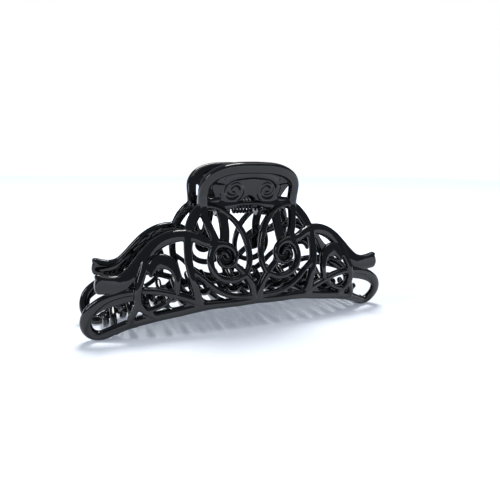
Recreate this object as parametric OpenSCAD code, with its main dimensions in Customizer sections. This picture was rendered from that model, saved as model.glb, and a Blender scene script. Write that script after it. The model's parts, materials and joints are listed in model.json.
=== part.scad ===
// Claw clip with open scrollwork jaws.
// +X runs along the hinge pin, +Z is up, the two jaws close on the plane y = 0.
// The origin is on the surface that the clip stands on, below the middle of the pin.
// Each jaw is one moulding in real life. Here it is divided at straight cuts into named regions.

/* [Jaw shell] */
// Thickness of the scrollwork, front to back
strand_depth = 2.6; // [2.2:0.1:3]
// Thickness of the thumb grip band, front to back
grip_depth = 3.0; // [2.6:0.1:3.4]
// Distance from the closing plane to the outside of the jaw where it bulges most
belly_y = 14.8; // [14:0.1:15.5]
// Angle by which each wing turns back from the middle of the jaw
wing_angle = 6.5; // [5:0.5:7.5]

/* [Hinge] */
// Diameter of the hinge pin
pin_d = 2.0; // [1.6:0.1:2.2]
// Height of the pin above the surface that the clip stands on
pin_z = 38.0; // [37.6:0.1:38.4]
// Radial clearance between the pin and its bores
pin_clearance = 0.05; // [0.02:0.01:0.1]
// Thickness of one hinge lug along the pin
lug_w = 2.2; // [1.8:0.1:2.3]
// Outer diameter of a hinge lug
lug_d = 5.8; // [5:0.1:6.2]

/* [Spring] */
// Diameter of the spring wire
wire_d = 0.9; // [0.7:0.1:1]
// Mean radius of the coil
coil_r = 2.2; // [2:0.1:2.4]
// Number of turns in the coil
coil_turns = 5; // [4:1:6]

/* [Teeth] */
// Distance from one tooth to the next along one jaw
tooth_pitch = 5.2; // [5:0.1:5.4]
// Width of a tooth along the jaw
tooth_w = 2.1; // [1.8:0.1:2.2]

/* [Hidden] */

black_gloss = [0.05, 0.05, 0.06];
steel = [0.62, 0.63, 0.66];

// Planes that divide a jaw into its regions
wing_x = 17.5;
bridge_z0 = 37.6;
bridge_z1 = 40.4;
grip_top_z = 52.4;
jaw_reach_x = 56;

// Outside of the jaw in side view, each point [z, distance inside the belly]:
// a belly and a lean towards the pin, then a waist at the hinge that flares out to the grip's lip
waist_z0 = 38;
waist_z1 = 41;
waist_in = 6.9;
lip_z = 52.6;
lip_in = 0.6;
flare_power = 1.4;
flare_steps = 4;
function flare(t) = [waist_z1 + (lip_z - waist_z1) * t, waist_in - (waist_in - lip_in) * pow(t, flare_power)];
side_view = [
    [-1, 4.7], [2, 2.9], [6, 1.1], [10, 0.2], [13, 0], [17, 0.1], [21, 0.8], [25, 1.8], [29, 3.0],
    [32, 4.0], [35, 5.5], [waist_z0, waist_in], for (i = [0 : flare_steps]) flare(i / flare_steps)
];
function jaw_y(z) = belly_y - lookup(z, side_view);

// Strand centre lines of the half at +X, each point [x, z, width]
ribbon = [
    [12.8, 28.0, 2.4], [16.0, 28.8, 2.3], [18.6, 30.2, 2.5], [21.2, 31.1, 2.7], [24.2, 31.2, 2.8],
    [27.6, 30.3, 2.9], [31.0, 28.3, 3.2], [34.0, 25.2, 3.5], [36.6, 21.8, 3.9], [39.2, 19.2, 4.2],
    [42.0, 18.1, 4.5], [44.6, 18.2, 4.9], [46.9, 18.7, 5.2]
];
end_loop = [
    [43.0, 2.9, 2.2], [45.6, 1.5, 2.5], [47.6, 1.1, 2.7], [49.6, 2.0, 2.7], [50.9, 4.3, 2.8],
    [51.1, 7.0, 2.8], [50.1, 9.8, 2.8], [48.0, 12.1, 2.5], [45.0, 13.9, 2.1], [41.0, 15.0, 1.8],
    [37.0, 15.4, 1.7], [33.0, 15.3, 1.7], [29.0, 14.5, 1.7], [25.0, 13.1, 1.7], [21.5, 11.7, 1.9],
    [18.8, 10.2, 2.2]
];
rim = [
    [0, 9.3, 2.2], [5.0, 9.0, 2.1], [10.0, 9.0, 2.1], [15.0, 9.1, 2.2], [20.0, 8.6, 2.5],
    [25.0, 7.7, 2.5], [30.0, 6.9, 2.5], [35.0, 5.8, 2.5], [39.5, 4.5, 2.5], [43.0, 3.0, 2.5],
    [46.4, 1.6, 2.4]
];
wing_strut = [
    [33.6, 25.6, 1.8], [34.8, 21.5, 2.0], [36.2, 17.6, 2.0], [36.8, 14.0, 2.0], [36.4, 11.2, 2.1],
    [35.0, 9.4, 1.9], [33.2, 8.0, 1.9], [32.0, 6.8, 1.9]
];
strut_foot = [[36.6, 12.0, 1.7], [37.7, 9.4, 1.8], [38.6, 7.4, 1.8], [38.9, 5.2, 1.8]];
leaf = [
    [25.6, 13.8, 1.4], [25.2, 17.5, 1.4], [25.6, 20.8, 1.7], [27.0, 23.2, 2.7], [29.3, 24.3, 3.5],
    [31.3, 23.4, 2.9], [32.5, 21.4, 1.8], [32.7, 20.0, 1.0]
];
low_scroll = [[33.4, 9.2, 1.3], [30.4, 10.2, 1.2], [28.0, 11.8, 1.2], [27.0, 13.6, 1.2]];
loop_outside = [
    [15.8, 38.9, 2.4], [17.8, 37.3, 2.7], [19.6, 34.7, 2.7], [20.9, 31.3, 2.3], [21.5, 27.5, 2.0],
    [21.5, 23.0, 2.0], [20.8, 18.5, 2.0], [19.7, 14.0, 2.0], [18.8, 10.2, 2.2]
];
loop_inside = [
    [16.0, 39.2, 1.6], [13.8, 39.3, 1.4], [11.0, 38.7, 1.3], [8.0, 37.1, 1.3], [5.4, 34.5, 1.4],
    [3.5, 31.2, 1.5], [2.4, 27.6, 1.6], [2.0, 24.5, 1.6], [2.2, 21.6, 1.5], [3.1, 19.0, 1.3],
    [4.0, 17.6, 1.2]
];
grip_leg = [[15.5, 41.4, 2.4], [15.3, 37.4, 2.2], [14.4, 33.6, 2.1], [13.4, 30.6, 2.2], [12.6, 28.0, 2.8]];
post = [[9.4, 38.5, 3.0], [9.3, 32.5, 2.7], [9.9, 27.6, 2.7]];
volute = [
    [12.4, 28.0, 2.4], [10.2, 28.0, 2.0], [8.0, 26.9, 1.6], [6.9, 24.8, 1.5], [7.4, 22.4, 1.4],
    [9.3, 21.2, 1.3], [11.4, 21.7, 1.2], [12.4, 23.5, 1.1], [11.7, 25.2, 1.1], [10.2, 25.6, 1.1]
];
cup_centre = [10.0, 24.2];
cup_d = 5.6;
volute_bowl = [
    [12.9, 28.0, 2.4], [14.5, 25.6, 1.9], [15.0, 22.6, 1.8], [14.2, 19.7, 1.8], [12.2, 17.7, 1.8],
    [9.5, 16.7, 1.8], [6.9, 16.7, 1.7], [4.4, 17.8, 1.6]
];
centre_strut = [
    [0.9, 9.6, 1.8], [1.2, 12.4, 1.9], [2.2, 15.4, 1.9], [3.9, 18.2, 1.8], [5.9, 20.4, 1.7],
    [7.6, 21.9, 1.5]
];
low_crescent = [
    [1.6, 10.9, 1.3], [5.0, 11.0, 1.3], [8.5, 11.6, 1.5], [12.0, 13.1, 1.7], [15.0, 15.4, 1.6],
    [17.5, 18.0, 1.4], [20.6, 20.6, 1.2]
];

// The grip band is half a superellipse, with a straight leg down to the hinge
grip_half_w = 15.6;
grip_side_z = 42;
grip_crown_z = 50.9;
grip_squareness = 2.7;
crown_w = 3.0;
leg_w = 2.6;
grip_steps = 6;
function superellipse(a) = let (c = pow(cos(a), 2 / grip_squareness), s = pow(sin(a), 2 / grip_squareness))
    [grip_half_w * c, grip_side_z + (grip_crown_z - grip_side_z) * s, leg_w + (crown_w - leg_w) * s];
grip_band = [
    for (i = [grip_steps : -1 : 0]) superellipse(90 * i / grip_steps),
    [grip_half_w, bridge_z0 + leg_w / 2, leg_w]
];

grip_scroll = [
    [0, 48.9, 1.7], [3.2, 48.6, 1.6], [6.6, 47.9, 1.6], [9.0, 46.0, 1.5], [9.4, 43.4, 1.4],
    [7.9, 41.3, 1.3], [5.4, 40.9, 1.3], [3.3, 42.4, 1.2], [3.2, 44.7, 1.1], [5.0, 46.2, 1.0],
    [6.9, 45.3, 1.0], [7.0, 43.6, 1.0], [5.7, 43.2, 1.0]
];
grip_leaf = [[8.6, 46.4, 1.2], [10.6, 47.2, 2.0], [12.4, 47.1, 1.6], [13.6, 46.8, 1.2]];
grip_tail = [[8.9, 41.4, 1.6], [10.6, 40.9, 1.8], [13.0, 40.7, 1.8], [15.2, 40.7, 1.8]];

// Outline of the panel behind the grip scrolls, and of the rail below it, for the half at +X
panel_edge = [
    [-0.1, 50.2], [5.0, 50.1], [10.5, 49.2], [14.0, 47.0], [13.2, 45.4], [11.8, 42.8], [10.7, 40.4],
    [2.4, 40.4], [1.4, 42.0], [-0.1, 42.6]
];
rail_edge = [[-0.1, 39.2], [3.4, 39.2], [5.0, 38.2], [15.0, 37.9], [15.0, 40.4], [-0.1, 40.4]];

wing_strands = [ribbon, end_loop, wing_strut, strut_foot, leaf, low_scroll, loop_outside, low_crescent];
middle_strands = [
    ribbon, loop_inside, loop_outside, grip_leg, post, volute, volute_bowl, centre_strut, low_crescent
];

// Smooth curves through the points above
curve_steps = 3;
fillet_r = 0.3;
function between(a, b, c, d, t) = 0.5 * (2 * b + (c - a) * t + (2 * a - 5 * b + 4 * c - d) * t * t
    + (3 * b - a - 3 * c + d) * t * t * t);
function smooth(p) = [
    for (i = [0 : len(p) - 2], j = [0 : curve_steps - 1])
        between(p[max(i - 1, 0)], p[i], p[i + 1], p[min(i + 2, len(p) - 1)], j / curve_steps),
    p[len(p) - 1]
];
function heading(p, i) =
    let (a = p[max(i - 1, 0)], b = p[min(i + 1, len(p) - 1)], d = [b[0] - a[0], b[1] - a[1]])
    d / norm(d);
function edge(p, s) = [
    for (i = [0 : len(p) - 1])
        let (d = heading(p, i), h = s * p[i][2] / 2)
        [p[i][0] - h * d[1], p[i][1] + h * d[0]]
];
function backwards(p) = [for (i = [len(p) - 1 : -1 : 0]) p[i]];

// One strand in front view, with round ends
module strand(p) {
    q = smooth(p);
    polygon(concat(edge(q, 1), backwards(edge(q, -1))));
    for (e = [p[0], p[len(p) - 1]])
        translate([e[0], e[1]])
            circle(d = e[2], $fn = 12);
}

// Both halves of a set of strands, with small fillets where they join
module strands_2d(set) {
    offset(r = -fillet_r, $fn = 8)
        offset(delta = fillet_r)
            for (side = [0, 1])
                mirror([side, 0])
                    for (p = set)
                        strand(p);
}

// Everything in front view between two heights and two lengths
module window(x0, x1, z0, z1) {
    intersection() {
        translate([x0, z0])
            square([x1 - x0, z1 - z0]);
        children();
    }
}

// Side view of the jaw wall, as [y, z], set in from its outside
module wall_2d(inset, depth) {
    polygon(concat(
        [for (p = side_view) [inset - jaw_y(p[0]), p[0]]],
        backwards([for (p = side_view) [inset - jaw_y(p[0]) + depth, p[0]]])
    ));
}

module wall(x0, x1, inset, depth) {
    translate([x0, 0, 0])
        rotate([90, 0, 90])
            linear_extrude(x1 - x0)
                wall_2d(inset, depth);
}

// The jaw wall: straight in the middle, turned back in the two wings
module middle_wall(inset = 0, depth = strand_depth) {
    wall(-wing_x, wing_x, inset, depth);
}

wing_overlap = 3;
module wing_wall(side, depth = strand_depth) {
    mirror([side > 0 ? 0 : 1, 0, 0])
        translate([wing_x, -belly_y, 0])
            rotate([0, 0, wing_angle])
                translate([-wing_x, belly_y, 0])
                    wall(wing_x - wing_overlap, jaw_reach_x, 0, depth);
}

// A front view shape pushed through the depth of the jaw
through_depth = 20.5;
module through() {
    rotate([90, 0, 0])
        linear_extrude(through_depth)
            children();
}

// A flat outline of the half at +X, repeated at -X
module both_halves() {
    for (side = [0, 1])
        mirror([side, 0])
            children();
}

module rim_2d() {
    strands_2d([rim]);
}

module open_scrolls_2d(set) {
    difference() {
        strands_2d(set);
        rim_2d();
    }
}

module wing(side) {
    x0 = side > 0 ? wing_x : -jaw_reach_x;
    color(black_gloss)
        intersection() {
            through()
                window(x0, x0 + jaw_reach_x - wing_x, 0, bridge_z1)
                    open_scrolls_2d(wing_strands);
            wing_wall(side);
        }
}

// The eye of each volute is closed by a thin cup set back behind it
cup_inset = 1.4;
cup_depth = 1.1;
module volute_cups() {
    intersection() {
        through()
            both_halves()
                translate(cup_centre)
                    circle(d = cup_d, $fn = 12);
        middle_wall(inset = cup_inset, depth = cup_depth);
    }
}

// The scrollwork between the wings, divided at x = 0
module middle_scrolls(side) {
    x0 = side > 0 ? 0 : -wing_x;
    color(black_gloss)
        intersection() {
            union() {
                intersection() {
                    through()
                        window(x0, x0 + wing_x, 0, bridge_z0)
                            open_scrolls_2d(middle_strands);
                    middle_wall();
                }
                volute_cups();
            }
            translate([x0, -through_depth, 0])
                cube([wing_x, through_depth, bridge_z0]);
        }
}

// Teeth stand in planes across the clip, a quarter pitch off centre so that the two jaws mesh
tooth_last = 9;
tooth_first = -8;
function tooth_x(i) = tooth_pitch * (i - 0.25);
function rim_z(x) = lookup(abs(x), [for (p = rim) [p[0], p[1]]]);
function wing_back(x) = max(0, abs(x) - wing_x) * tan(wing_angle);
function wall_y(x, z) = jaw_y(z) - wing_back(x);
tooth_end_h = 1.8;
tooth_root_h = 2.6;
tooth_mid_h = 2.3;
tooth_tip_h = 1.9;
tooth_dip = 0.5;
tooth_rise = 4.6;
tooth_gap = 1.2;
root_share = 0.55;
bend_share = 0.6;

module tooth(x) {
    z = rim_z(x);
    root = wall_y(x, z) - strand_depth / 2;
    tip = wall_y(x, z + tooth_rise) - strand_depth - tooth_gap - tooth_tip_h / 2;
    line = [
        [-root, z, tooth_end_h], [-root * root_share, z - tooth_dip, tooth_root_h],
        [0, z + tooth_dip, tooth_mid_h], [tip * bend_share, z + tooth_rise / 2, tooth_mid_h],
        [tip, z + tooth_rise, tooth_tip_h]
    ];
    translate([x - tooth_w / 2, 0, 0])
        rotate([90, 0, 90])
            linear_extrude(tooth_w)
                strand(line);
}

module rim_bar() {
    intersection() {
        through()
            window(-wing_x, wing_x, 0, bridge_z0)
                rim_2d();
        middle_wall();
    }
    for (side = [-1, 1])
        intersection() {
            x0 = side > 0 ? wing_x : -jaw_reach_x;
            through()
                window(x0, x0 + jaw_reach_x - wing_x, 0, bridge_z0)
                    rim_2d();
            wing_wall(side);
        }
}

// The rim and its teeth, divided midway between two teeth
middle_first = -3;
middle_last = 3;
left_cut_x = tooth_x(middle_first - 0.5);
right_cut_x = tooth_x(middle_last + 0.5);

module rim_length(x0, x1) {
    intersection() {
        rim_bar();
        translate([x0, -through_depth, 0])
            cube([x1 - x0, through_depth, bridge_z0]);
    }
}

module teeth(x0, x1, first, last) {
    color(black_gloss)
        union() {
            rim_length(x0, x1);
            for (i = [first : last])
                tooth(tooth_x(i));
        }
}

module left_teeth() {
    teeth(-jaw_reach_x, left_cut_x, tooth_first, middle_first - 1);
}

module middle_teeth() {
    teeth(left_cut_x, right_cut_x, middle_first, middle_last);
}

module right_teeth() {
    teeth(right_cut_x, jaw_reach_x, middle_last + 1, tooth_last);
}

// Hinge lugs: one near each end of the pin, set so that the other jaw's lugs pass beside them
lug_gap = 0.2;
lug_outer_x = 9.6;
lug_inner_x = lug_outer_x - lug_w - lug_gap;
bore_r = pin_d / 2 + pin_clearance;
lug_starts = [-lug_outer_x, lug_inner_x - lug_w];

lug_root_inset = 1;
lug_edge = 0.2;
lug_foot = 0.8;
module lug(x) {
    back = jaw_y(bridge_z1) - lug_root_inset;
    translate([x, 0, 0])
        rotate([90, 0, 90])
            linear_extrude(lug_w)
                difference() {
                    union() {
                        translate([0, pin_z])
                            circle(d = lug_d, $fn = 64);
                        polygon([
                            [-back, bridge_z0 + lug_foot], [0, pin_z - lug_d / 2],
                            [0, pin_z + lug_d / 2], [-back, bridge_z1 - lug_edge]
                        ]);
                    }
                    translate([0, pin_z])
                        circle(r = bore_r, $fn = 64);
                }
}

module hinge_rail() {
    intersection() {
        through()
            window(-wing_x, wing_x, bridge_z0, bridge_z1)
                union() {
                    strands_2d([loop_inside, loop_outside, grip_leg, post, grip_band]);
                    both_halves()
                        polygon(rail_edge);
                }
        middle_wall();
    }
}

module hinge_bridge() {
    color(black_gloss)
        union() {
            hinge_rail();
            for (x = lug_starts)
                lug(x);
        }
}

module thumb_grip() {
    color(black_gloss)
        intersection() {
            through()
                window(-wing_x, wing_x, bridge_z1, grip_top_z + 1)
                    strands_2d([grip_band]);
            middle_wall(depth = grip_depth);
        }
}

// A panel set back inside the grip band, with scrolls raised on its outside
scroll_inset = 0.6;
scroll_depth = 1.3;
panel_inset = 1.5;
panel_depth = 1.1;

module grip_region(inset, depth) {
    intersection() {
        through()
            window(-wing_x, wing_x, bridge_z1, grip_top_z)
                difference() {
                    children();
                    strands_2d([grip_band]);
                }
        middle_wall(inset = inset, depth = depth);
    }
}

module grip_scrolls() {
    color(black_gloss)
        union() {
            grip_region(scroll_inset, scroll_depth)
                strands_2d([grip_scroll, grip_leaf]);
            grip_region(panel_inset, panel_depth)
                union() {
                    strands_2d([grip_tail]);
                    both_halves()
                        polygon(panel_edge);
                }
        }
}

// Straight pin with two low round heads
pin_half = 10.4;
head_d = 3.2;
head_t = 0.7;
module hinge_pin() {
    color(steel)
        translate([0, 0, pin_z])
            rotate([0, 90, 0])
                union() {
                    cylinder(d = pin_d, h = 2 * pin_half, center = true, $fn = 64);
                    for (side = [-1, 1])
                        translate([0, 0, side * (pin_half - head_t / 2)])
                            cylinder(d = head_d, h = head_t, center = true, $fn = 64);
                }
}

// Torsion spring: one wire, with a leg up the inside of each grip and a coil round the pin
coil_steps = 16;
coil_span = 360 * coil_turns + 180;
coil_count = coil_steps * coil_turns + coil_steps / 2;
coil_pitch = wire_d + 0.25;
coil_half = coil_pitch * coil_span / 720;
wire_sides = 8;
leg_side = [[1.05, 1.4], [1.4, 3.2], [1.85, 5.6], [2.4, 8.4]];
function coil_point(i) = let (u = i / coil_count, a = 180 + coil_span * u)
    [coil_half * (2 * u - 1), coil_r * cos(a), pin_z + coil_r * sin(a)];
function leg_point(side, p) = [side * coil_half, side * coil_r * p[0], pin_z + p[1]];
wire_line = concat(
    [for (p = backwards(leg_side)) leg_point(-1, p)],
    [for (i = [0 : coil_count]) coil_point(i)],
    [for (p = leg_side) leg_point(1, p)]
);

// A round wire swept along a line that never runs along X
module wire(line, d, sides) {
    n = len(line);
    function along(i) = let (t = line[min(i + 1, n - 1)] - line[max(i - 1, 0)]) t / norm(t);
    function ring(i) = let (
        t = along(i), c = cross([1, 0, 0], t), a = c / norm(c), b = cross(t, a)
    ) [for (k = [0 : sides - 1]) line[i] + d / 2 * (a * cos(360 * k / sides) + b * sin(360 * k / sides))];
    function at(i, k) = i * sides + k % sides;
    polyhedron(
        points = [for (i = [0 : n - 1]) each ring(i)],
        faces = concat(
            [[for (k = [0 : sides - 1]) at(0, k)]],
            [
                for (i = [0 : n - 2], k = [0 : sides - 1])
                    [at(i, k), at(i + 1, k), at(i + 1, k + 1), at(i, k + 1)]
            ],
            [[for (k = [sides - 1 : -1 : 0]) at(n - 1, k)]]
        )
    );
}

module torsion_spring() {
    color(steel)
        wire(wire_line, wire_d, wire_sides);
}

// The rear jaw is the front jaw turned half round
module rear() {
    rotate([0, 0, 180])
        children();
}

thumb_grip();  // front_thumb_grip
grip_scrolls();  // front_grip_scrolls
hinge_bridge();  // front_hinge_bridge
middle_scrolls(-1);  // front_left_middle_scrolls
middle_scrolls(1);  // front_right_middle_scrolls
wing(-1);  // front_left_wing
wing(1);  // front_right_wing
left_teeth();  // front_left_teeth
middle_teeth();  // front_middle_teeth
right_teeth();  // front_right_teeth
rear() thumb_grip();  // rear_thumb_grip
rear() grip_scrolls();  // rear_grip_scrolls
rear() hinge_bridge();  // rear_hinge_bridge
rear() middle_scrolls(1);  // rear_left_middle_scrolls
rear() middle_scrolls(-1);  // rear_right_middle_scrolls
rear() wing(1);  // rear_left_wing
rear() wing(-1);  // rear_right_wing
rear() right_teeth();  // rear_left_teeth
rear() middle_teeth();  // rear_middle_teeth
rear() left_teeth();  // rear_right_teeth
hinge_pin();
torsion_spring();
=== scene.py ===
"""Looks for a claw clip with open scrollwork jaws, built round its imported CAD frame."""
import json
import math

import bmesh
import bpy
import numpy as np
from mathutils import Matrix, Vector


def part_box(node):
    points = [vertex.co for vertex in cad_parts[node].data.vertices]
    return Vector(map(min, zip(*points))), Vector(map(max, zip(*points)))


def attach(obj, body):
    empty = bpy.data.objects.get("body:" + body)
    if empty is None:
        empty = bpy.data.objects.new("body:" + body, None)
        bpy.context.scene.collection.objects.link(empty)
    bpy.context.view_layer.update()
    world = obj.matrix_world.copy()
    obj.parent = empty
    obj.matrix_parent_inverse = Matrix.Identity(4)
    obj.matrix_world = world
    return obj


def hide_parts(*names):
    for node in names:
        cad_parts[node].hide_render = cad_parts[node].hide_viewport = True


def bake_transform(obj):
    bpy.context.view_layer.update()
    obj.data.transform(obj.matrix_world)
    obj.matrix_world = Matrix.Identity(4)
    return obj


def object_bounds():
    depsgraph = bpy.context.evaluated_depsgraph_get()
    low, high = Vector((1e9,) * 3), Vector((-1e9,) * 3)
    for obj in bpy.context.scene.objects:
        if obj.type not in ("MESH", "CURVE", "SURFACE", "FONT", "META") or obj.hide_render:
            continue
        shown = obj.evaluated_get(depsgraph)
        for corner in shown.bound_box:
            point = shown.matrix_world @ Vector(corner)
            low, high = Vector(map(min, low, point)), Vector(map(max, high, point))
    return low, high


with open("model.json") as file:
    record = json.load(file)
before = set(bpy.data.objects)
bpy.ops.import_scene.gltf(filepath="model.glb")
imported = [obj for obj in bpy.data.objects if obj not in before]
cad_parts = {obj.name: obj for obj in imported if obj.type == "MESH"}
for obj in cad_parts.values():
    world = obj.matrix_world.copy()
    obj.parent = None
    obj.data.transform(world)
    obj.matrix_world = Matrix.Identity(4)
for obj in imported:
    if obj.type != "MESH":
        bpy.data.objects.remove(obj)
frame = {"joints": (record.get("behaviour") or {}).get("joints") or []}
cad_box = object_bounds()

MM = 0.001  # outlines below are in millimetres, in the frame's axes



def linked(name, data):
    """A new object in the scene."""
    obj = bpy.data.objects.new(name, data)
    bpy.context.scene.collection.objects.link(obj)
    return obj


# ---------------------------------------------------------------- camera

CAMERA_PLACE = (-50.2, -127.1, 50.6)
CAMERA_YAW = 22.8
CAMERA_PITCH = 11.5
CAMERA_ROLL = 0.8
SENSOR = 36.0
FOCAL_SHARE = 0.8108  # focal length as a share of the picture's width


def make_camera():
    data = bpy.data.cameras.new("camera")
    data.sensor_width = SENSOR
    data.lens = SENSOR * FOCAL_SHARE
    data.clip_start = 0.005
    data.clip_end = 10
    camera = linked("camera", data)
    turn = (
        Matrix.Rotation(-math.radians(CAMERA_YAW), 4, "Z")
        @ Matrix.Rotation(math.radians(90 - CAMERA_PITCH), 4, "X")
        @ Matrix.Rotation(math.radians(CAMERA_ROLL), 4, "Z")
    )
    camera.matrix_world = Matrix.Translation(Vector(CAMERA_PLACE) * MM) @ turn
    bpy.context.scene.camera = camera


# ---------------------------------------------------------------- sizes read from the frame

def box_mm(node):
    low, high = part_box(node)
    return low / MM, high / MM


PIN_LOW, PIN_HIGH = box_mm("hinge_pin")
PIN_HALF = (PIN_HIGH.x - PIN_LOW.x) / 2
HEAD_R = (PIN_HIGH.z - PIN_LOW.z) / 2
PIN_Z = frame["joints"][0]["pos_m"][2] / MM
BELLY = -cad_box[0].y / MM
TOP = cad_box[1].z / MM

# ---------------------------------------------------------------- the jaw's surface

WING_X = 17.5
WING_SLOPE = math.tan(math.radians(6.5))
WING_BLEND = 2.5
WAIST_Z = (38.0, 41.0)
WAIST_IN = 6.9
LIP_Z = 52.6
LIP_IN = 0.6
FLARE_POWER = 1.4
FLARE_STEPS = 4


def flare(t):
    return WAIST_Z[1] + (LIP_Z - WAIST_Z[1]) * t, WAIST_IN - (WAIST_IN - LIP_IN) * t**FLARE_POWER


# side view of the outside, (height, distance inside the belly)
SIDE = [
    (-1, 4.7), (2, 2.9), (6, 1.1), (10, 0.2), (13, 0), (17, 0.1), (21, 0.8), (25, 1.8), (29, 3.0),
    (32, 4.0), (35, 5.5), (WAIST_Z[0], WAIST_IN), *[flare(i / FLARE_STEPS) for i in range(FLARE_STEPS + 1)],
]


def catmull(points, per_span):
    """Points on a smooth curve through rows of numbers, with all columns carried along."""
    p = np.array(points, float)
    p = np.vstack([2 * p[0] - p[1], p, 2 * p[-1] - p[-2]])
    t = np.linspace(0, 1, per_span, endpoint=False)[:, None]
    spans = []
    for a, b, c, d in zip(p, p[1:], p[2:], p[3:]):
        spans.append(0.5 * (2 * b + (c - a) * t + (2 * a - 5 * b + 4 * c - d) * t**2
                            + (3 * b - a - 3 * c + d) * t**3))
    return np.vstack(spans + [p[-2]])


SIDE_CURVE = catmull(SIDE, 8)


def wing_back(x):
    """How far the wings are turned back at x, with a soft start."""
    over = (np.abs(x) - WING_X) / WING_BLEND
    return WING_SLOPE * WING_BLEND * np.where(over > 20, over, np.log1p(np.exp(np.minimum(over, 20))))


def outside(x, z):
    return BELLY - np.interp(z, SIDE_CURVE[:, 0], SIDE_CURVE[:, 1]) - wing_back(x)


def unit(rows):
    """Each row scaled to a length of one."""
    return rows / np.linalg.norm(rows, axis=-1, keepdims=True)


def surface_normal(x, z, step=0.3):
    across = (outside(x + step, z) - outside(x - step, z)) / (2 * step)
    along = (outside(x, z + step) - outside(x, z - step)) / (2 * step)
    return unit(np.stack([-across, -np.ones_like(x), -along], -1))


# ---------------------------------------------------------------- swept strands

RING = 26
CAP_ANGLES = np.radians([88, 75, 60, 45, 30, 15])


def skin(rings, steps, closed=False):
    """Faces between rings of steps vertices each. closed joins the last ring to the first."""
    faces = []
    for i in range(rings if closed else rings - 1):
        near, far = i * steps, (i + 1) % rings * steps
        for k in range(steps):
            j = (k + 1) % steps
            faces.append((near + k, near + j, far + j, far + k))
    return faces


def section(power, dish, bead):
    """A closed outline, u across and v outwards, both from -1 to 1, then what is added outwards in mm.
    dish hollows the middle of the outside, and bead raises a ridge along its edge at u = -1."""
    a = np.linspace(0, 2 * math.pi, RING, endpoint=False)
    u = np.sign(np.cos(a)) * np.abs(np.cos(a)) ** (2 / power)
    v = np.sign(np.sin(a)) * np.abs(np.sin(a)) ** (2 / power)
    outer = np.clip(v, 0, 1)
    extra = -dish * outer * np.clip(1 - (u / 0.72) ** 2, 0, 1)
    extra += bead * outer * np.exp(-(((u + 0.66) / 0.2) ** 2))
    return u, v, extra


def tube(centre, across, out, half_w, half_d, shape, cap=(1.0, 1.0)):
    """Vertices and faces of a closed sweep. cap is each end's roundness, as a share of its half width."""
    u, v, extra = shape

    def ring(c, s, n, w, d, k):
        return c + np.outer(u * w, s) + np.outer(v * d + extra * k, n)

    def end(c, s, n, w, d, heading, share):
        made = []
        for angle in CAP_ANGLES:
            reach, keep = math.sin(angle), math.cos(angle)
            thick = (1 - reach**8) ** (1 / 5)
            made.append(ring(c + heading * share * w * reach, s, n, w * keep, d * max(thick, 0.25), keep))
        return made

    first = centre[0] - centre[1]
    last = centre[-1] - centre[-2]
    first = first / np.linalg.norm(first)
    last = last / np.linalg.norm(last)
    rings = end(centre[0], across[0], out[0], half_w[0], half_d[0], first, cap[0])
    for k in range(len(centre)):
        rings.append(ring(centre[k], across[k], out[k], half_w[k], half_d[k], 1))
    rings += end(centre[-1], across[-1], out[-1], half_w[-1], half_d[-1], last, cap[1])[::-1]
    n = len(rings)
    faces = skin(n, RING)
    faces.append(tuple(range(RING))[::-1])
    faces.append(tuple((n - 1) * RING + k for k in range(RING)))
    return np.vstack(rings), faces


STRAND_DEPTH = 2.6
FULLNESS = 1.17  # strands are drawn this much wider, since rounding and smoothing thin them
PULL = 0.5  # how much a strand's sides follow the mould's pull along Y, against the surface


def strand(points, depth=STRAND_DEPTH, lift=0.0, power=3.0, dish=0.0, bead=0.0, cap=(1.0, 1.0), turn=1):
    """One strand of the half at +X. Each point is (x, z, width), and may add lift and depth."""
    rows = [tuple(p) + ((lift,) if len(p) < 4 else ()) + ((depth,) if len(p) < 5 else ()) for p in points]
    q = catmull(rows, 7)
    x, z, w, up, d = q.T
    n = surface_normal(x, z)
    out = unit(n * (1 - PULL) + np.array([0, -1, 0]) * PULL)
    skin = np.stack([x, -outside(x, z) - up, z], -1)
    centre = skin - out * (d / 2)[:, None]
    t = unit(np.gradient(centre, axis=0))
    across = unit(np.cross(t, out) * turn)
    out = np.cross(across, t) * turn
    return tube(centre, across, out, w * FULLNESS / 2, d / 2, section(power, dish, bead), cap)


def bar(x, line, half_w, shape, cap):
    """A sweep in the plane at x. line has rows of (y, z, thickness)."""
    centre = np.stack([np.full(len(line), x), line[:, 0], line[:, 1]], -1)
    t = unit(np.gradient(centre, axis=0))
    across = np.tile([1.0, 0, 0], (len(line), 1))
    return tube(centre, across, np.cross(across, t), half_w, line[:, 2] / 2, shape, cap)


def sheet(rows, inset, depth, columns=20, step=0.35):
    """A thin panel that follows the surface. rows are (z, from x, to x)."""
    rows = np.array(rows, float)
    count = max(2, int((rows[-1, 0] - rows[0, 0]) / step))
    z = np.linspace(rows[0, 0], rows[-1, 0], count)
    low, high = (np.interp(z, rows[:, 0], rows[:, k]) for k in (1, 2))
    u = np.linspace(0, 1, columns)
    x = low[:, None] + (high - low)[:, None] * u
    zz = np.repeat(z[:, None], columns, 1)
    y = -outside(x, zz) + inset
    front = np.stack([x, y, zz], -1).reshape(-1, 3)
    verts = np.vstack([front, front + [0, depth, 0]])
    size = count * columns
    faces = []
    for i in range(count - 1):
        for k in range(columns - 1):
            a = i * columns + k
            quad = (a, a + 1, a + 1 + columns, a + columns)
            faces += [quad, tuple(v + size for v in quad[::-1])]
    loop = list(range(columns))
    loop += [i * columns + columns - 1 for i in range(1, count)]
    loop += [(count - 1) * columns + k for k in range(columns - 2, -1, -1)]
    loop += [i * columns for i in range(count - 2, 0, -1)]
    for a, b in zip(loop, loop[1:] + loop[:1]):
        faces.append((a, a + size, b + size, b))
    return verts, faces


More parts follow.
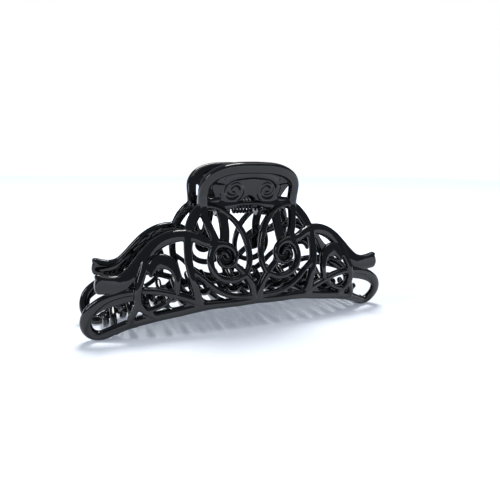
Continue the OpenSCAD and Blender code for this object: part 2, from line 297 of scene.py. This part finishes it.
# Strand centre lines of the half at +X, each point (x, z, width[, lift[, depth]])
RIBBON = [
    (12.8, 28.0, 2.4, 0), (16.0, 28.8, 2.5, 0.1), (18.6, 30.2, 2.8, 0.1), (21.2, 31.0, 3.1, 0),
    (24.2, 31.0, 3.3, -0.2), (27.6, 30.1, 3.4, -0.5), (31.0, 28.1, 3.5, -0.8), (34.0, 25.0, 3.7, -0.9),
    (36.6, 21.8, 3.9, -0.7), (39.2, 19.2, 4.2, -0.3), (42.0, 18.1, 4.4, 0.2), (44.6, 18.1, 4.7, 0.7),
    (46.8, 18.5, 5.0, 1.2),
]
END_LOOP = [
    (43.0, 2.9, 2.2), (45.6, 1.5, 2.5), (47.6, 1.15, 2.6), (49.6, 2.0, 2.7), (50.9, 4.3, 2.8),
    (51.1, 7.0, 2.8), (50.1, 9.8, 2.8), (48.0, 12.1, 2.5), (45.0, 13.9, 2.2), (41.0, 15.0, 2.0),
    (37.0, 15.4, 1.9), (33.0, 15.3, 1.9), (29.0, 14.5, 1.9), (25.0, 13.1, 1.9), (21.5, 11.7, 2.0),
    (18.8, 10.2, 2.2),
]
RIM = [
    (-0.4, 9.3, 2.5), (5.0, 9.0, 2.4), (10.0, 9.0, 2.4), (15.0, 9.1, 2.6), (20.0, 8.6, 2.8),
    (25.0, 7.7, 2.8), (30.0, 6.9, 2.8), (35.0, 5.8, 2.8), (39.5, 4.5, 2.7), (43.0, 3.0, 2.6),
    (46.4, 1.6, 2.4),
]
LOOP_BAND = [
    (49.2, 9.0, 1.2, -0.9), (47.0, 10.9, 1.9, -1.0), (43.8, 12.4, 2.4, -1.1), (40.0, 13.2, 2.3, -1.1),
    (36.6, 13.6, 1.6, -0.9),
]
HORN_LIP = [(44.4, 19.7, 1.2, 0.6), (46.0, 20.2, 1.6, 1.0), (47.1, 20.6, 1.7, 1.2)]
WING_STRUT = [
    (33.6, 25.6, 1.8, -0.8), (34.8, 21.5, 2.0, 0.2), (36.2, 17.6, 2.0, 0.8), (36.8, 14.0, 2.0, 0.9),
    (36.4, 11.2, 2.1, 0.6), (35.0, 9.4, 1.9, 0.3), (33.2, 8.0, 1.9, 0.1), (32.0, 6.8, 1.9, 0),
]
STRUT_FOOT = [(36.6, 12.0, 1.7, 0.5), (37.7, 9.4, 1.8, 0.3), (38.6, 7.4, 1.8, 0.1), (38.9, 5.2, 1.8, 0)]
LEAF = [
    (25.6, 13.8, 1.4), (25.2, 17.5, 1.6), (25.6, 20.6, 2.3), (27.0, 22.8, 3.3), (29.3, 23.8, 4.1),
    (31.3, 23.0, 3.4), (32.5, 21.2, 2.1), (32.7, 20.0, 1.2),
]
LOW_SCROLL = [(33.4, 9.2, 1.3), (30.4, 10.2, 1.3), (28.0, 11.8, 1.3), (27.0, 13.6, 1.3)]
LOOP_OUTSIDE = [
    (15.8, 38.9, 2.5), (17.8, 37.3, 2.8), (19.6, 34.7, 2.8), (20.9, 31.3, 2.4), (21.5, 27.5, 2.1),
    (21.5, 23.0, 2.1), (20.8, 18.5, 2.1), (19.7, 14.0, 2.1), (18.8, 10.2, 2.2),
]
LOOP_INSIDE = [
    (16.0, 39.2, 1.6), (13.8, 39.3, 1.5), (11.0, 38.7, 1.4), (8.0, 37.1, 1.4), (5.4, 34.5, 1.5),
    (3.5, 31.2, 1.6), (2.4, 27.6, 1.6), (2.0, 24.5, 1.6), (2.2, 21.6, 1.5), (3.1, 19.0, 1.4),
    (4.0, 17.6, 1.3),
]
GRIP_LEG = [
    (15.5, 41.4, 2.4, 0.3), (15.3, 37.4, 2.2, 0.4), (14.4, 33.6, 2.1, 0.4), (13.4, 30.6, 2.2, 0.3),
    (12.6, 28.0, 2.8, 0.2),
]
POST = [(9.4, 39.5, 3.0), (9.3, 32.5, 2.7), (9.9, 27.6, 2.7)]
VOLUTE = [
    (12.4, 28.0, 2.4, 0.5), (10.2, 28.0, 2.0, 0.8), (8.0, 26.9, 1.7, 1.0), (6.9, 24.8, 1.5, 0.9),
    (7.4, 22.4, 1.4, 0.6), (9.3, 21.2, 1.3, 0.5), (11.4, 21.7, 1.2, 0.5), (12.4, 23.5, 1.2, 0.6),
    (11.7, 25.2, 1.2, 0.6), (10.2, 25.4, 1.3, 0.4), (9.5, 24.2, 1.3, 0.1),
]
VOLUTE_BOWL = [
    (12.9, 28.0, 2.4, 0.5), (14.5, 25.6, 1.9, 0.6), (15.0, 22.6, 1.8, 0.5), (14.2, 19.7, 1.8, 0.3),
    (12.2, 17.7, 1.8, 0), (9.5, 16.7, 1.8, 0), (6.9, 16.7, 1.7, 0), (4.4, 17.8, 1.6, 0),
]
CENTRE_STRUT = [
    (0.9, 9.6, 1.8), (1.2, 12.4, 1.9), (2.2, 15.4, 1.9), (3.9, 18.2, 1.8), (5.9, 20.4, 1.7),
    (7.6, 21.9, 1.5),
]
LOW_CRESCENT = [
    (1.6, 10.9, 1.4), (5.0, 11.0, 1.4), (8.5, 11.6, 1.5), (12.0, 13.1, 1.7), (15.0, 15.4, 1.6),
    (17.5, 18.0, 1.4), (20.6, 20.6, 1.3),
]

# The grip band is half a superellipse, with a straight leg down to the hinge
GRIP_HALF_W = 15.6
GRIP_SIDE_Z = 42.0
GRIP_CROWN_Z = 50.9
GRIP_SQUARENESS = 2.7
CROWN_W = 3.0
LEG_W = 2.6


def superellipse(angle):
    c = max(math.cos(angle), 0) ** (2 / GRIP_SQUARENESS)
    s = math.sin(angle) ** (2 / GRIP_SQUARENESS)
    return GRIP_HALF_W * c, GRIP_SIDE_Z + (GRIP_CROWN_Z - GRIP_SIDE_Z) * s, LEG_W + (CROWN_W - LEG_W) * s


GRIP_BAND = [superellipse(math.radians(15 * i)) for i in range(6, -1, -1)] + [(GRIP_HALF_W, 38.9, LEG_W)]
GRIP_SCROLL = [
    (-0.2, 48.9, 1.8), (3.2, 48.6, 1.8), (6.6, 47.9, 1.8), (9.0, 46.0, 1.7), (9.4, 43.4, 1.6),
    (7.9, 41.3, 1.5), (5.4, 40.9, 1.5), (3.3, 42.4, 1.4), (3.2, 44.7, 1.3), (5.0, 46.2, 1.2),
    (6.9, 45.3, 1.2), (7.0, 43.6, 1.2), (5.7, 43.2, 1.3),
]
GRIP_LEAF = [(8.6, 46.4, 1.4), (10.6, 47.2, 2.2), (12.4, 47.3, 2.0), (13.6, 46.9, 1.6)]
GRIP_TAIL = [(8.9, 41.4, 1.6), (10.6, 40.9, 1.8), (13.0, 40.7, 1.8), (15.2, 40.7, 1.8)]
RAIL = [(-0.4, 39.9, 1.1), (3.4, 39.8, 1.2), (6.0, 39.3, 2.0), (10.0, 39.2, 2.2), (14.8, 39.2, 2.3)]

PANEL = [
    (39.9, 3.0, 10.9), (40.8, 2.4, 11.0), (42.0, 1.4, 11.4), (42.6, -0.4, 11.7), (45.4, -0.4, 13.2),
    (46.9, -0.4, 14.2), (48.6, -0.4, 13.2), (50.2, -0.4, 9.4),
]
PANEL_INSET = 1.5
CUP_X, CUP_Z, CUP_R = 10.0, 24.2, 2.8
CUP_INSET = 1.4
SHEET_DEPTH = 1.1
FOOT_WEB = [(5.8, 30.4, 35.8), (7.2, 31.4, 35.4), (9.4, 33.4, 35.6)]
TAIL_WEB = [(8.9, 15.6, 25.0), (10.6, 16.8, 22.8), (12.8, 18.6, 20.6)]
WEB_INSET = 0.6
CUP = [
    (CUP_Z + CUP_R * math.sin(a), CUP_X - CUP_R * math.cos(a), CUP_X + CUP_R * math.cos(a))
    for a in np.radians(np.linspace(-85, 85, 13))
]

STRANDS = [
    dict(points=RIBBON, depth=2.7, power=2.5, bead=0.2, cap=(1.0, 0.5)),
    dict(points=HORN_LIP, depth=2.2, power=2.2),
    dict(points=LOOP_BAND, depth=1.4, power=2.6),
    dict(points=END_LOOP, depth=2.6, power=2.3),
    dict(points=RIM, depth=2.6, power=2.4),
    dict(points=WING_STRUT, depth=2.6, power=2.4),
    dict(points=STRUT_FOOT, depth=2.3, power=2.4),
    dict(points=LEAF, depth=2.3, power=2.5, dish=0.15),
    dict(points=LOW_SCROLL, depth=2.2, power=2.4),
    dict(points=LOOP_OUTSIDE, depth=2.5, power=2.6, dish=0.12),
    dict(points=LOOP_INSIDE, depth=2.6, power=2.5),
    dict(points=GRIP_LEG, depth=2.7, power=2.6),
    dict(points=POST, depth=2.0, lift=-0.6, power=2.8),
    dict(points=VOLUTE, depth=2.5, power=2.4),
    dict(points=VOLUTE_BOWL, depth=2.6, power=2.4),
    dict(points=CENTRE_STRUT, depth=2.5, power=2.4),
    dict(points=LOW_CRESCENT, depth=2.4, lift=-0.1, power=2.4),
    dict(points=GRIP_BAND, depth=3.0, power=3.2, dish=0.1),
    dict(points=GRIP_SCROLL, depth=1.5, lift=-0.9, power=2.2),
    dict(points=GRIP_LEAF, depth=1.6, lift=-0.8, power=2.2),
    dict(points=GRIP_TAIL, depth=1.7, lift=-0.9, power=2.6),
    dict(points=RAIL, depth=2.0, lift=-0.6, power=2.8),
]
SHEETS = [(PANEL, PANEL_INSET), (CUP, CUP_INSET), (FOOT_WEB, WEB_INSET), (TAIL_WEB, WEB_INSET)]


def mirrored(part):
    verts, faces = part
    return verts * [-1, 1, 1], [f[::-1] for f in faces]


# ---------------------------------------------------------------- teeth and lugs

TOOTH_PITCH = 5.2
TOOTH_W = 2.1
ROOT_W = 3.0
TOOTH_FIRST, TOOTH_LAST = -8, 9
TOOTH_RISE = 4.6
TOOTH_GAP = 1.2
TOOTH_TIP = 1.9
TOOTH_SHIFT = 0.25  # teeth sit this share of a pitch off centre, so the turned jaw's fall between them


def tooth(x):
    rim = np.array(RIM)
    z = np.interp(abs(x), rim[:, 0], rim[:, 1])
    root = outside(x, z) - STRAND_DEPTH / 2
    tip = outside(x, z + TOOTH_RISE) - STRAND_DEPTH - TOOTH_GAP - TOOTH_TIP / 2
    line = catmull([
        (-root, z + 0.3, 3.4), (-root * 0.7, z - 0.2, 3.4), (0, z + 0.4, 2.4),
        (tip * 0.6, z + TOOTH_RISE / 2, 2.4), (tip, z + TOOTH_RISE, TOOTH_TIP),
    ], 8)
    half_w = np.interp(line[:, 0], [-root, -root * 0.7], [ROOT_W / 2, TOOTH_W / 2])
    return bar(x, line, half_w, section(2.8, 0, 0), cap=(0.4, 0.9))


LUG_W = 2.2
LUG_R = 2.9
BORE_R = 1.05
LUG_STARTS = (-9.6, 5.0)
ARM_Z = 39.0
ROUND_STEPS = 48


def lug(x0):
    """A hinge lug: a ring round the pin, with an arm back to the rail."""
    a = np.linspace(0, 2 * math.pi, ROUND_STEPS, endpoint=False)
    rows = []
    for x, r in ((x0, BORE_R), (x0, LUG_R), (x0 + LUG_W, LUG_R), (x0 + LUG_W, BORE_R)):
        rows.append(np.stack([np.full(ROUND_STEPS, x), r * np.cos(a), PIN_Z + r * np.sin(a)], -1))
    ring = np.vstack(rows), skin(len(rows), ROUND_STEPS, closed=True)
    back = outside(x0, ARM_Z) - STRAND_DEPTH / 2
    line = catmull([(-back, ARM_Z, 2.6), (-back * 0.7, 38.7, 3.0), (-2.0, 38.1, 3.8)], 6)
    arm = bar(x0 + LUG_W / 2, line, np.full(len(line), LUG_W / 2), section(6, 0, 0), cap=(0.1, 0.1))
    return [ring, arm]


# ---------------------------------------------------------------- one jaw

VOXEL = 0.2
SMOOTH_FACTOR = 0.5
SMOOTH_PASSES = 5
RELAX_PASSES = 3
JAW_TRIANGLES = 185000


def mesh_from(name, parts):
    verts, faces, start = [], [], 0
    for v, f in parts:
        verts.append(v)
        faces += [tuple(i + start for i in face) for face in f]
        start += len(v)
    mesh = bpy.data.meshes.new(name)
    mesh.from_pydata(np.vstack(verts).tolist(), [], faces)
    bm = bmesh.new()
    bm.from_mesh(mesh)
    bmesh.ops.recalc_face_normals(bm, faces=bm.faces)
    bm.to_mesh(mesh)
    bm.free()
    return mesh


def baked(obj):
    """obj's mesh with its modifiers applied."""
    graph = bpy.context.evaluated_depsgraph_get()
    return bpy.data.meshes.new_from_object(obj.evaluated_get(graph))


def fused(mesh):
    """The parts of mesh fused into one skin, with soft joins."""
    obj = linked("fusing", mesh)
    remesh = obj.modifiers.new("fuse", "REMESH")
    remesh.mode = "VOXEL"
    remesh.voxel_size = VOXEL
    smooth = obj.modifiers.new("smooth", "SMOOTH")
    smooth.factor = SMOOTH_FACTOR
    smooth.iterations = SMOOTH_PASSES
    full = baked(obj)
    obj.modifiers.clear()
    obj.data = full
    thin = obj.modifiers.new("thin", "DECIMATE")
    thin.ratio = min(1.0, JAW_TRIANGLES / (2 * len(full.polygons)))
    relax = obj.modifiers.new("relax", "SMOOTH")
    relax.factor = SMOOTH_FACTOR
    relax.iterations = RELAX_PASSES
    made = baked(obj)
    bpy.data.objects.remove(obj)
    return made


def jaw_mesh():
    parts = []
    for s in STRANDS:
        half = strand(**s)
        parts += [half, mirrored(half)]
    for rows, inset in SHEETS:
        half = sheet(rows, inset, SHEET_DEPTH)
        parts += [half, mirrored(half)]
    for i in range(TOOTH_FIRST, TOOTH_LAST + 1):
        parts.append(tooth(TOOTH_PITCH * (i - TOOTH_SHIFT)))
    for x0 in LUG_STARTS:
        parts += lug(x0)
    made = fused(mesh_from("jaw", parts))
    co = np.empty(len(made.vertices) * 3, np.float32)
    made.vertices.foreach_get("co", co)
    co = co.reshape(-1, 3)
    low, high = co[:, 2].min(), co[:, 2].max()
    co[:, 2] = (co[:, 2] - low) * (TOP / (high - low))  # smoothing shrinks the ends a little
    for axis, limit in ((0, cad_box[1].x / MM), (1, BELLY)):
        co[:, axis] *= min(1, limit / np.abs(co[:, axis]).max())
    made.vertices.foreach_set("co", (co * MM).ravel())
    made.shade_smooth()
    return made


JAW_PARTS = (
    "thumb_grip", "grip_scrolls", "hinge_bridge", "left_middle_scrolls", "right_middle_scrolls",
    "left_wing", "right_wing", "left_teeth", "middle_teeth", "right_teeth",
)


def place(name, mesh, material, nodes):
    obj = linked(name, mesh)
    if not mesh.materials:
        mesh.materials.append(material)
    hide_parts(*nodes)
    return obj


def make_jaws(material):
    mesh = jaw_mesh()
    for side, turn in (("front", 0), ("rear", math.pi)):
        obj = place(f"{side}_jaw_moulding", mesh, material,
                    [f"{side}_{p}" for p in JAW_PARTS])
        obj.matrix_world = Matrix.Rotation(turn, 4, "Z")
        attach(obj, f"{side}_jaw")


# ---------------------------------------------------------------- pin and spring

PIN_R = 1.0
HEAD_T = 0.7
HEAD_DOME = 0.6  # the dome's share of the head's thickness
HEAD_FLAT = 0.45  # the flat top's share of the head's radius
HEAD_FILLET = 0.12


def make_pin(material):
    """The pin is turned about X: a straight rod with two low domed heads."""
    outline = [(-PIN_HALF, 0.0)]
    for a in np.radians(np.linspace(0, 90, 7)):
        x = -PIN_HALF + HEAD_T * HEAD_DOME * (1 - math.cos(a))
        outline.append((x, HEAD_R * (HEAD_FLAT + (1 - HEAD_FLAT) * math.sin(a))))
    outline += [(-PIN_HALF + HEAD_T, HEAD_R), (-PIN_HALF + HEAD_T, PIN_R + HEAD_FILLET)]
    outline += [(-PIN_HALF + HEAD_T + HEAD_FILLET, PIN_R)]
    outline += [(-x, r) for x, r in outline[::-1]]
    verts = []
    for x, r in outline:
        for k in range(ROUND_STEPS):
            a = 2 * math.pi * k / ROUND_STEPS
            verts.append((x * MM, r * math.cos(a) * MM, (PIN_Z + r * math.sin(a)) * MM))
    mesh = bpy.data.meshes.new("pin")
    mesh.from_pydata(verts, [], skin(len(outline), ROUND_STEPS))
    bm = bmesh.new()
    bm.from_mesh(mesh)
    bmesh.ops.remove_doubles(bm, verts=bm.verts, dist=1e-7)
    bmesh.ops.recalc_face_normals(bm, faces=bm.faces)
    bm.to_mesh(mesh)
    bm.free()
    mesh.shade_smooth()
    obj = place("hinge_pin_rod", mesh, material, ["hinge_pin"])
    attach(obj, "front_jaw")


WIRE_R = 0.45
COIL_R = 2.2
COIL_TURNS = 5.5
COIL_PITCH = 1.15
STEPS_PER_TURN = 40
LEG = [(1.05, 1.4), (1.4, 3.2), (1.85, 5.6), (2.4, 8.4)]


def make_spring(material):
    half = COIL_PITCH * COIL_TURNS / 2
    line = [(-half, -COIL_R * p, PIN_Z + h, 0) for p, h in LEG[::-1]]
    leg_in = catmull(line + [(-half, -COIL_R, PIN_Z, 0)], 8)[:, :3]
    u = np.linspace(0, 1, int(STEPS_PER_TURN * COIL_TURNS) + 1)
    a = math.pi + 2 * math.pi * COIL_TURNS * u
    coil = np.stack([half * (2 * u - 1), COIL_R * np.cos(a), PIN_Z + COIL_R * np.sin(a)], -1)
    leg_out = leg_in[::-1] * [-1, -1, 1]
    centre = np.vstack([leg_in[:-1], coil, leg_out[1:]])
    t = unit(np.gradient(centre, axis=0))
    out = unit(np.cross([1.0, 0, 0], t))
    across = np.cross(t, out)
    radius = np.full(len(centre), WIRE_R)
    verts, faces = tube(centre, across, out, radius, radius, section(2, 0, 0), cap=(0.3, 0.3))
    mesh = mesh_from("spring", [(verts * MM, faces)])
    mesh.shade_smooth()
    obj = place("torsion_spring_wire", mesh, material, ["torsion_spring"])
    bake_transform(obj)


# ---------------------------------------------------------------- materials

def new_material(name):
    material = bpy.data.materials.new(name)
    material.use_nodes = True
    return material, material.node_tree, material.node_tree.nodes["Principled BSDF"]


def noise(tree, scale, detail=3, stretch=None):
    place_node = tree.nodes.new("ShaderNodeTexCoord")
    tex = tree.nodes.new("ShaderNodeTexNoise")
    tex.inputs["Scale"].default_value = scale
    tex.inputs["Detail"].default_value = detail
    source = place_node.outputs["Object"]
    if stretch:
        mapping = tree.nodes.new("ShaderNodeMapping")
        mapping.inputs["Scale"].default_value = stretch
        tree.links.new(source, mapping.inputs["Vector"])
        source = mapping.outputs["Vector"]
    tree.links.new(source, tex.inputs["Vector"])
    return tex.outputs["Fac"]


def mapped(tree, value, low, high, to_low, to_high):
    node = tree.nodes.new("ShaderNodeMapRange")
    for name, number in (("From Min", low), ("From Max", high), ("To Min", to_low), ("To Max", to_high)):
        node.inputs[name].default_value = number
    tree.links.new(value, node.inputs["Value"])
    return node.outputs["Result"]


def bumped(tree, height, strength, distance, before=None):
    node = tree.nodes.new("ShaderNodeBump")
    node.inputs["Strength"].default_value = strength
    node.inputs["Distance"].default_value = distance
    tree.links.new(height, node.inputs["Height"])
    if before:
        tree.links.new(before, node.inputs["Normal"])
    return node.outputs["Normal"]


def black_plastic():
    material, tree, shader = new_material("black_moulded_gloss")
    shader.inputs["IOR"].default_value = 1.52
    ramp = tree.nodes.new("ShaderNodeValToRGB")
    ramp.color_ramp.elements[0].color = (0.002, 0.002, 0.0025, 1)
    ramp.color_ramp.elements[1].color = (0.005, 0.0053, 0.0065, 1)
    tree.links.new(noise(tree, 90, 4), ramp.inputs["Fac"])
    tree.links.new(ramp.outputs["Color"], shader.inputs["Base Color"])
    haze = mapped(tree, noise(tree, 130, 5), 0.4, 0.72, 0.05, 0.12)
    tree.links.new(haze, shader.inputs["Roughness"])
    flow = bumped(tree, noise(tree, 260, 2), 0.35, 0.00012)
    peel = bumped(tree, noise(tree, 1900, 2), 0.12, 0.00002, flow)
    tree.links.new(peel, shader.inputs["Normal"])
    return material


def steel(name, light, dark, rough, stretch):
    material, tree, shader = new_material(name)
    shader.inputs["Metallic"].default_value = 1
    ramp = tree.nodes.new("ShaderNodeValToRGB")
    ramp.color_ramp.elements[0].color = (*dark, 1)
    ramp.color_ramp.elements[1].color = (*light, 1)
    tree.links.new(noise(tree, 400, 4), ramp.inputs["Fac"])
    tree.links.new(ramp.outputs["Color"], shader.inputs["Base Color"])
    drawn = noise(tree, 700, 4, stretch)
    tree.links.new(mapped(tree, drawn, 0.3, 0.7, rough, rough + 0.2), shader.inputs["Roughness"])
    tree.links.new(bumped(tree, drawn, 0.3, 0.00003), shader.inputs["Normal"])
    return material


# ---------------------------------------------------------------- stage and light

FLOOR_HALF = 2.0
GLOW_NEAR, GLOW_FAR = 0.07, 0.32  # metres from the clip over which the floor's painted glow grows stronger; the dim floor round the clip is painted shadow
GLOW_LOW, GLOW_HIGH = 0.26, 0.95


def make_stage():
    mesh = bpy.data.meshes.new("floor")
    corners = [(x * FLOOR_HALF, y * FLOOR_HALF, 0) for x, y in ((-1, -1), (1, -1), (1, 1), (-1, 1))]
    mesh.from_pydata(corners, [], [(0, 1, 2, 3)])
    floor = linked("floor", mesh)
    material, tree, shader = new_material("pale_floor_painted_glow")
    shader.inputs["Base Color"].default_value = (0.86, 0.88, 0.92, 1)
    shader.inputs["Roughness"].default_value = 0.7
    shader.inputs["Specular IOR Level"].default_value = 0.2
    # The floor glows: its bluish emission is painted light, weak near the clip as a painted shadow and
    # strong further out
    shader.inputs["Emission Color"].default_value = (0.82, 0.9, 1.06, 1)
    place_node = tree.nodes.new("ShaderNodeTexCoord")
    reach = tree.nodes.new("ShaderNodeVectorMath")
    reach.operation = "LENGTH"
    tree.links.new(place_node.outputs["Object"], reach.inputs[0])
    painted_glow = mapped(tree, reach.outputs["Value"], GLOW_NEAR, GLOW_FAR, GLOW_LOW, GLOW_HIGH)
    tree.links.new(painted_glow, shader.inputs["Emission Strength"])
    mesh.materials.append(material)


def area_light(name, place_mm, aim_mm, size_mm, power, colour):
    data = bpy.data.lights.new(name, "AREA")
    data.shape = "RECTANGLE"
    data.size, data.size_y = size_mm[0] * MM, size_mm[1] * MM
    data.energy = power
    data.color = colour
    light = linked(name, data)
    light.location = Vector(place_mm) * MM
    light.rotation_mode = "QUATERNION"
    light.rotation_quaternion = (Vector(aim_mm) - Vector(place_mm)).to_track_quat("-Z", "Y")


def make_lights():
    world = bpy.data.worlds.new("world")
    bpy.context.scene.world = world
    world.use_nodes = True
    tree = world.node_tree
    fill = tree.nodes["Background"]
    fill.inputs["Color"].default_value = (0.76, 0.87, 1.0, 1)
    fill.inputs["Strength"].default_value = 0.22
    backdrop = tree.nodes.new("ShaderNodeBackground")
    backdrop.inputs["Color"].default_value = (1, 1, 1, 1)
    seen = tree.nodes.new("ShaderNodeLightPath")
    mix = tree.nodes.new("ShaderNodeMixShader")
    tree.links.new(seen.outputs["Is Camera Ray"], mix.inputs[0])
    tree.links.new(fill.outputs[0], mix.inputs[1])
    tree.links.new(backdrop.outputs[0], mix.inputs[2])
    tree.links.new(mix.outputs[0], tree.nodes["World Output"].inputs["Surface"])
    area_light("key", (60, 150, 700), (0, 0, 20), (260, 200), 3.2, (1, 0.99, 0.97))
    area_light("softbox", (150, -50, 750), (0, 0, 20), (600, 500), 1.1, (0.95, 0.98, 1))
    area_light("left", (-650, -60, 380), (0, 0, 25), (120, 300), 1.3, (0.92, 0.96, 1))
    bpy.context.scene.view_settings.view_transform = "Standard"


make_camera()
make_stage()
make_lights()
make_jaws(black_plastic())
make_pin(steel("drawn_steel", (0.12, 0.12, 0.13), (0.06, 0.06, 0.065), 0.3, (0.1, 1, 1)))
make_spring(steel("spring_steel", (0.07, 0.07, 0.08), (0.035, 0.035, 0.04), 0.34, (1, 1, 1)))
